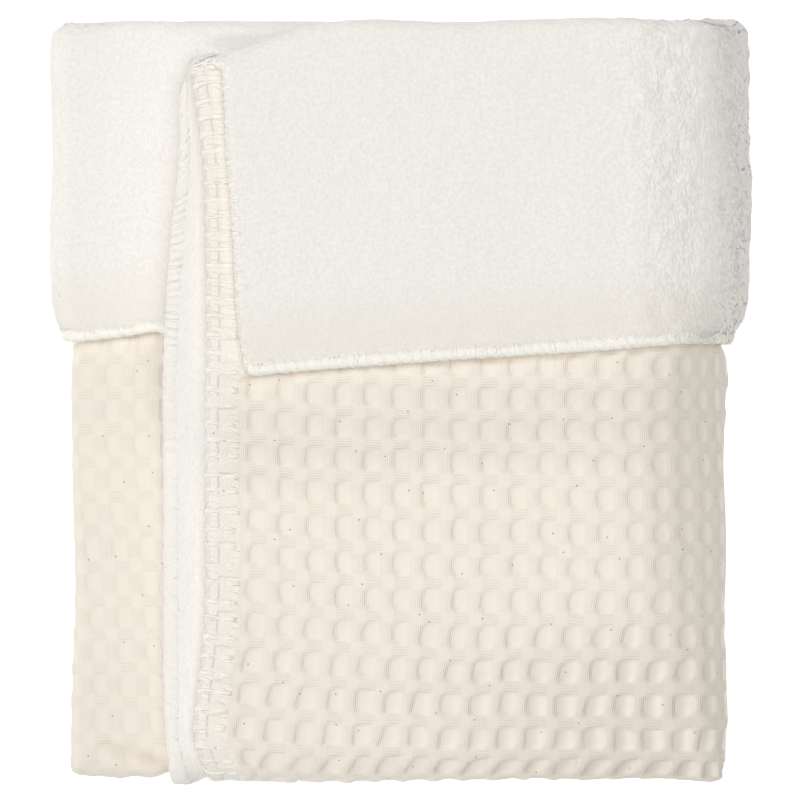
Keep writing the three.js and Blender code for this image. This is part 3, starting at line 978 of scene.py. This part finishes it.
# %% The overlock of the side edges and the hems
OVER_SIDE = table(
    "inward share out",
    (12.8, 0.05, 0),
    (10.8, -0.05, 0),
    (8.6, 0.00, 0),
    (7.1, 0.08, 0),
    (5.6, 0.00, 0),
    (3.4, -0.07, 0),
    (1.3, -0.05, 0),
    (0.0, 0.12, 0.4),
    (0.0, 0.50, 0.6),
    (0.6, 0.78, 0),
    (3.0, 0.80, 0),
)
OVER_HEM = table(
    "inward share out",
    (5.4, 0.04, 0),
    (2.5, -0.02, 0),
    (0.3, 0.08, 0),
    (-0.1, 0.35, 0.1),
    (-0.1, 0.66, 0.1),
    (0.6, 0.93, 0),
    (2.2, 1.02, 0),
    (3.9, 0.96, 0),
    (5.1, 0.72, 0),
)
OVER_STRIP = table(
    "inward share out",
    (5.0, 0.02, 0),
    (2.0, 0.00, 0),
    (0.2, 0.10, 0),
    (-0.1, 0.35, 0.1),
    (-0.1, 0.66, 0.1),
    (0.5, 0.92, 0),
    (2.4, 0.96, 0),
    (4.4, 0.98, 0),
    (6.2, 0.96, 0),
    (7.4, 0.74, 0),
)


def lifted(way, amount):
    """The same way, farther out of the cloth by an amount counted in plies."""
    on_cloth = way["inward"] > 0
    share = way["share"] + np.sign(way["share"] - 0.5) * amount * on_cloth
    return {"inward": way["inward"], "share": share, "out": way["out"] + amount * PLY * ~on_cloth}


edge, end = "outer_edge", LONG_END - 2
outer = edge_stitches(edge, 3, end, STITCH, OVER_SIDE, 0.46, 0.10, 31, strands=3, reach=0.22)
outer += edge_stitches(edge, 2, end, 2.9, lifted(OVER_SIDE, 0.03), 0.17, 0.30, 37, strands=1)
outer.append(edge_cord(edge, 1, end + 1, STITCH, 0.10, 0.2, 0.7, 0.5))
outer.append(edge_cord(edge, 1, end + 1, STITCH / 2, 0.55, 0.3, 0.6, 0.6))
edge = "inner_edge"
inner = [edge_roll(edge, 2, end, 8.2, OVER_STRIP, 0.60, 0.75, 32)]
inner += edge_stitches(edge, 3, end, 4.1, lifted(OVER_STRIP, 0.06), 0.20, 0.14, 36, strands=2, reach=0.5)
hems, end = [], WIDE_END - 1
for number, edge in enumerate(("hem", "back_end")):
    spacing = 0.7 + 1.3 * number
    over_hem = lifted(OVER_HEM, 0.10)
    hems.append(edge_roll(edge, 1, end, 5.1, OVER_HEM, 0.85, 0.5, 41 + number, spacing))
    hems += edge_stitches(edge, 1, end, 3.7, over_hem, 0.20, 0.35, 33 + number, strands=2, reach=0.8)
names = "outer_edge_stitches", "inner_edge_stitches", "hem_stitches"
stitches = [joined(name, parts) for name, parts in zip(names, (outer, inner, hems))]

# %% [markdown]
# ## The pile
#
# The tips of the pile blur the outline of the plush and give it its grain. Each tuft is a pointed sliver
# with four faces, rooted in the plush and leaning along the nap. There are more of them where the pile is
# ruffled: at the right, along the hem and at the edges.


# %% Tufts of pile
PLUSH_SUNK = PLUSH_FACE - 0.2  # the roots lie a little under the face


def tuft_field(name, u, v, seed, height=1.3, width=0.11):
    """Slivers of four faces that lean along the nap, each turned by a random angle about the way out.

    The nap is cos of the angle times the way ahead plus sin of it times the way beside.
    """
    dice = np.random.default_rng(seed)
    count = len(u)
    root = on_net(u, v, PLUSH_SUNK, PLUSH_NET)
    out = unit(root - on_net(u, v, PLUSH_SUNK - 1.5, PLUSH_NET))
    ahead = unit(root - on_net(u, v + 1.2, PLUSH_SUNK, PLUSH_NET))
    beside = unit(np.cross(out, ahead))
    right = (smooth((u - 160) / 40) * (u < 264))[:, None]
    turn = dice.normal(0, 0.6, (count, 1)) + 0.7 * right
    nap = np.cos(turn) * ahead + np.sin(turn) * beside
    long = height * (1 + 0.3 * right) * dice.uniform(0.6, 1.25, (count, 1))
    wide = width * (1 + 0.3 * right) * dice.uniform(0.7, 1.3, (count, 1))
    rise = dice.uniform(0.1, 0.45, (count, 1)) + 0.45 * smooth((7 - v) / 3)[:, None]
    aside = wide * np.cross(out, nap)
    tip = root + long * (rise * out + 0.85 * nap)
    corners = [root + aside, root - aside, root - wide * nap - 0.5 * out, tip]
    faces = np.array([[0, 1, 3], [1, 2, 3], [2, 0, 3], [0, 2, 1]]) + 4 * np.arange(count)[:, None, None]
    piece = mesh_object(name, np.stack(corners, axis=1).reshape(-1, 3), [], faces.reshape(-1, 3))
    # The faces are shaded as the plush under them is, and the tip leans a little along the nap.
    shaded = np.stack([out, out, out, out + 0.25 * nap], axis=1)
    piece.data.normals_split_custom_set_from_vertices(unit(shaded).reshape(-1, 3))
    return piece


def scattered(count, u_span, v_span, dice):
    """Random places in a rectangle of the cloth, kept as often as the density there says."""
    u, v = dice.uniform(*u_span, count), dice.uniform(*v_span, count)
    keep = dice.uniform(0, 1, count) < ruffled(u, v)
    return u[keep], v[keep]


def ruffled(u, v):
    """The share of tufts: most at the right, at the hem and at the edge, fewer in the middle."""
    fold = 0.8 * smooth((u - 185) / 35) * (1 - 0.8 * smooth((u - 214) / 14)) * (u < 300)
    fold = fold + 0.6 * bell((u - LEFT_START) / 12)
    low_rows = 0.9 * smooth((10 - v) / 5)
    edge = smooth((9 - u) / 6) + smooth((u - WIDE_END + 9) / 6)
    return 0.04 + 0.9 * np.clip(fold + low_rows + edge, 0, 1)


dice = np.random.default_rng(51)
at_right = scattered(80000, (0.2, 264), (0.2, 146), dice)
at_left = scattered(16000, (LEFT_START - 32, LEFT_START + 36), (0.2, 140), dice)
at_edge = scattered(14000, (WIDE_END - 9, WIDE_END - 0.2), (150, 500), dice)
pile = [
    tuft_field("pile_of_the_cuff", *at_right, 52),
    tuft_field("pile_at_the_left", *np.concatenate([at_left, at_edge], axis=1), 53),
]

# %% [markdown]
# ## Shader maths
#
# A material is worked out from sockets. A small class wraps one socket, so that sums and products can be
# written as they are, and each adds its own node. Wired by hand, the same maths would fill pages.

# %% A socket that can be reckoned with
class Shade:
    """One socket of a material's nodes. Arithmetic on it adds the nodes that work it out."""

    def __init__(self, tree, socket=None):
        self.tree = tree
        self.socket = socket

    def node(self, kind, settings=None, values=None, output=0):
        """Adds a node: its own settings first, then the numbers or sockets that its inputs get."""
        node = self.tree.nodes.new(kind)
        for name, value in (settings or {}).items():
            setattr(node, name, value)
        for name, value in (values or {}).items():
            feed(node.inputs[name], value)
        return Shade(self.tree, node.outputs[output])

    def maths(self, operation, *values):
        """Adds a maths node for an operation on numbers or sockets."""
        return self.node("ShaderNodeMath", {"operation": operation}, dict(enumerate(values)))

    def __add__(self, other):
        return self.maths("ADD", self, other)

    def __sub__(self, other):
        return self.maths("SUBTRACT", self, other)

    def __rsub__(self, other):
        return self.maths("SUBTRACT", other, self)

    def __mul__(self, other):
        return self.maths("MULTIPLY", self, other)

    def __truediv__(self, other):
        return self.maths("DIVIDE", self, other)

    __radd__, __rmul__ = __add__, __mul__

    def wave(self, pitch):
        """From 0 to 1 and back over each pitch, as a cosine."""
        return 0.5 + 0.5 * self.maths("COSINE", self * (2 * np.pi / pitch))

    def from_middle(self, pitch, origin):
        """Distance from the nearest of the places that lie whole pitches from the origin."""
        share = self.maths("FRACT", (self - origin) / pitch + 0.5) - 0.5
        return self.maths("ABSOLUTE", share * pitch)

    def rise(self, low, high):
        """0 below the low value and 1 above the high one, along a smooth step."""
        settings = {"interpolation_type": "SMOOTHSTEP"}
        return self.node("ShaderNodeMapRange", settings, {"Value": self, "From Min": low, "From Max": high})

    def blend(self, a, b):
        """The colour a where this is 0, and b where it is 1."""
        a, b = (colour if isinstance(colour, Shade) else (*colour, 1.0) for colour in (a, b))
        return self.node("ShaderNodeMix", {"data_type": "RGBA"}, {0: self, 6: a, 7: b}, 2)

    def noise(self, scale, detail, **more):
        """A random pattern on this vector, with about as many patches in a metre as its scale."""
        values = {"Vector": self, "Scale": scale, "Detail": detail, **more}
        return self.node("ShaderNodeTexNoise", None, values)

    def bump(self, strength, distance):
        """The normal of a surface with this height, which counts in the distance."""
        values = {"Strength": strength, "Distance": distance, "Height": self}
        return self.node("ShaderNodeBump", None, values)


def feed(socket, value):
    """Gives a socket a number or a colour, or links it to a worked-out one."""
    if isinstance(value, Shade):
        value.tree.links.new(value.socket, socket)
    else:
        socket.default_value = value


def new_material(name, roughness, specular, sheen=0.0):
    """A material with a Principled shader on its output. Returns it, its start and its shader's sockets."""
    material = bpy.data.materials.new(name)
    material.use_nodes = True
    tree = material.node_tree
    shader = next(node for node in tree.nodes if node.type == "BSDF_PRINCIPLED").inputs
    constants = {"Roughness": roughness, "Specular IOR Level": specular, "Sheen Weight": sheen}
    for socket, value in constants.items():
        shader[socket].default_value = value
    return material, Shade(tree), shader


def places_on_cloth(start):
    """The UV map of a panel, and its two lengths of cloth in millimetres."""
    uv = start.node("ShaderNodeUVMap", {"uv_map": "cloth"})
    u, v = (start.node("ShaderNodeSeparateXYZ", None, {0: uv}, axis) * 1000 for axis in (0, 1))
    return uv, u, v


# %% [markdown]
# ## Waffle cotton
#
# Undyed cotton is cream, with a few brown seed flecks. Threads float along the ridges both ways, so fine
# lines follow each ridge. They are thinner than the mesh can show, so the material draws them from the UV
# map. The panel's own numbers paint shade into the walls of the pits, where less light gets out, under the
# hem and in a crease, and onto the shaded right side.

# %% The lines of the threads
material, start, shader = new_material("waffle_cotton", 0.95, 0.15, 0.1)
uv, u, v = places_on_cloth(start)
names = "cells", "wall", "shade"
cells, wall, shade = (start.node("ShaderNodeAttribute", {"attribute_name": name}, None, 2) for name in names)
shake = (uv.noise(260.0, 2.0) - 0.5) * 0.8
from_column, from_row = u.from_middle(CELL_WIDE, FIRST_RIDGE), v.from_middle(CELL_LONG, ridge_row)
upright = 1 - (from_column + shake * 0.4).rise(1.2, 2.4)
level_ridge = 1 - (from_row + shake * 0.4).rise(1.9, 3.1)
across_lines = 1.3 * ((v + shake).wave(1.1) * level_ridge * from_column.rise(1.6, 3.2))
upright_lines = (u + shake).wave(0.85) * (1 - from_column.rise(2.4, 4.6)) * from_row.rise(2.0, 3.6)
woven = u.rise(12.5, 15.0)
fine_lines = (across_lines + upright_lines) * woven
flat_pits = (1 - cells) * (1 - upright) * (1 - level_ridge)
loose = uv.noise(1500.0, 3.0)
surface = fine_lines * 0.6 + loose * 0.6 - flat_pits * 3 + (1 - woven) * uv.noise(900.0, 3.0) * 2.5
feed(shader["Normal"], surface.bump(0.5, 0.0004))
print("threads of the cotton:", len(material.node_tree.nodes), "nodes")

# %% The colour of the cotton
voronoi = {"voronoi_dimensions": "2D", "feature": "F1"}
spots = start.node("ShaderNodeTexVoronoi", voronoi, {"Vector": uv, "Scale": 45.0})
fleck = 1 - (spots + loose * 0.012).rise(0.014, 0.030)
colour = uv.noise(28.0, 2.0).rise(0.35, 0.65).blend((0.865, 0.805, 0.725), (0.88, 0.815, 0.735))
colour = (fine_lines * 0.085).blend(colour, (0.62, 0.54, 0.44))
# Painted shade towards the right side, on the ridges of the low rows and on the left panel.
colour = (shade * 0.75).blend(colour, (0.70, 0.65, 0.575))
# Painted shade, a warm brown: in the walls of the pits, just under the hem and in the crease at the lower
# left.
colour = (wall * 0.29).blend(colour, (0.62, 0.48, 0.34))
edge_band = (1 - u.rise(5.5, 9.0)) * 0.4 + (1 - woven) * 0.5
colour = edge_band.blend(colour, (0.875, 0.835, 0.77))
feed(shader["Base Color"], (fleck * 0.65).blend(colour, (0.20, 0.13, 0.08)))
waffle.data.materials.append(material)
print("waffle cotton:", len(material.node_tree.nodes), "nodes")

# %% [markdown]
# ## Plush
#
# Plush is a dense short pile: white tips with a faint warm tone between the tufts. It has no shine but a
# little sheen, as fibres light up at a low angle. At the right, where the pile is ruffled over the fold,
# the tips get a painted highlight and the gaps painted shade, a band of the fold is painted lighter, and
# the turn past it gets painted shade. Next to the hem it is creamier.

# %% The material of the plush
material, start, shader = new_material("plush_pile", 1.0, 0.1, 0.3)
uv, u, v = places_on_cloth(start)
values = {"Vector": uv, "Rotation": (0, 0, -0.8), "Scale": (1, 0.5, 1)}
combed = start.node("ShaderNodeMapping", None, values)
tufts, hairs, fur = uv.noise(620.0, 3.0), uv.noise(2200.0, 2.0), combed.noise(430.0, 3.5, Distortion=1.4)
before_fold_ends = 1 - u.rise(264, 300)
ruffle = 0.45 + 2.3 * (u.rise(150, 215) * before_fold_ends)
feed(shader["Normal"], (tufts * 0.35 + hairs * 0.25 + fur * ruffle).bump(0.5, 0.001))
grain = (tufts * 0.5 + fur * ruffle * 0.5) / (0.5 + ruffle * 0.5)
# Over the fold the tips get a painted highlight and the gaps painted shade.
at_right = u.rise(140, 215) * before_fold_ends
gaps = at_right.blend((0.82, 0.80, 0.76), (0.78, 0.75, 0.71))
tips = at_right.blend((0.885, 0.865, 0.83), (0.96, 0.94, 0.905))
white = grain.rise(0.35, 0.65).blend(gaps, tips)
# A painted highlight on a band of the fold.
white = (u.rise(182, 204) * (1 - u.rise(208, 220)) * 0.75).blend(white, (0.985, 0.965, 0.93))
# Painted shade on the turn past that band.
white = (u.rise(212, 226) * before_fold_ends * 0.8).blend(white, (0.79, 0.765, 0.735))
feed(shader["Base Color"], ((1 - v.rise(9, 36)) * 0.55).blend(white, (0.80, 0.765, 0.68)))
plush.data.materials.append(material)
print("plush:", len(material.node_tree.nodes), "nodes")

# %% [markdown]
# ## Tips of the pile
#
# The tufts are the ends of the same fibres. They are so small that one even white does for them.

# %% The material of the tufts
material, start, shader = new_material("plush_tips", 1.0, 0.0)
feed(shader["Base Color"], (0.93, 0.91, 0.875, 1.0))
for piece in pile:
    piece.data.materials.append(material)
print("pieces of pile:", len(pile))

# %% [markdown]
# ## Thread
#
# Soft spun thread. Across the band it is a little brighter than the cotton. Where it rolls round the
# inner edge it is teased up and nearly as white as the plush, and round the hems it is whiter still. A
# noise for the fibres is enough, as the threads themselves are in the mesh.

# %% The material of the stitches
def thread_material(name, dark, light, fuzz, depth):
    """Thread with fibres: a noise of a given scale for its colour and its bump."""
    material, start, shader = new_material(name, 0.95, 0.1)
    fibres = start.node("ShaderNodeTexCoord", None, None, "Object").noise(fuzz, 4.0)
    feed(shader["Base Color"], fibres.blend(dark, light))
    feed(shader["Normal"], fibres.bump(0.6, depth))
    return material


threads = [
    thread_material("stitch_thread", (0.87, 0.845, 0.78), (0.92, 0.90, 0.85), 1600.0, 0.0004),
    thread_material("teased_thread", (0.83, 0.81, 0.755), (0.89, 0.87, 0.82), 800.0, 0.0009),
    thread_material("hem_thread", (0.89, 0.87, 0.80), (0.97, 0.95, 0.885), 800.0, 0.0009),
]
for piece, finish in zip(stitches, threads):
    piece.data.materials.append(finish)
print("finishes of thread:", len(threads))

# %% [markdown]
# ## Floor and light
#
# The photograph is of a product on a white ground without a shadow that shows. A large soft light high on
# the left gives the pits their darker left walls, and the even white world fills the rest. The floor
# glows a little, so that it comes out as white as in the photograph.

# %% Floor, light and world
floor_mesh = bpy.data.meshes.new("floor")
floor_mesh.from_pydata([(-3, -3, 0), (3, -3, 0), (3, 3, 0), (-3, 3, 0)], [], [(0, 1, 2, 3)])
floor = placed("floor", floor_mesh, (0, 0, -0.0005))
material, start, shader = new_material("white_ground", 1.0, 0.0)
feed(shader["Base Color"], (0.95, 0.95, 0.95, 1))
feed(shader["Emission Color"], (1, 1, 1, 1))
feed(shader["Emission Strength"], 0.45)
floor_mesh.materials.append(material)


def area_light(name, place, size, watts, colour):
    """A square light that looks at the middle of the blanket."""
    data = bpy.data.lights.new(name, "AREA")
    data.size, data.energy, data.color = size, watts, colour
    light = placed(name, data, place)
    light.rotation_euler = (Vector((0, 0, 0.03)) - Vector(place)).to_track_quat("-Z", "Y").to_euler()


area_light("key_light", (-2.6, 0.25, 2.6), 1.6, 40.0, (1.0, 0.985, 0.965))
area_light("soft_ceiling", (0, 0, 6.0), 9.0, 408.0, (1.0, 0.995, 0.985))
world = bpy.data.worlds.new("studio")
bpy.context.scene.world = world
world.use_nodes = True
background = world.node_tree.nodes["Background"]
background.inputs["Color"].default_value = (1, 1, 1, 1)
background.inputs["Strength"].default_value = 0.16
bpy.context.scene.view_settings.view_transform = "Standard"
print("lights:", [light.name for light in bpy.data.lights])

# %% [markdown]
# ## Handing the pieces over
#
# Each panel hides the solid that it stands for, and every piece is hung under the root body.

# %% The pieces and their bodies
for piece, node, finish in [(waffle, "waffle_outer", "waffle_cotton"), (plush, "plush_lining", "plush")]:
    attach(piece, "root")
    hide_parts(node)
for piece in stitches:
    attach(piece, "root")
for piece in pile:
    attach(piece, "root")
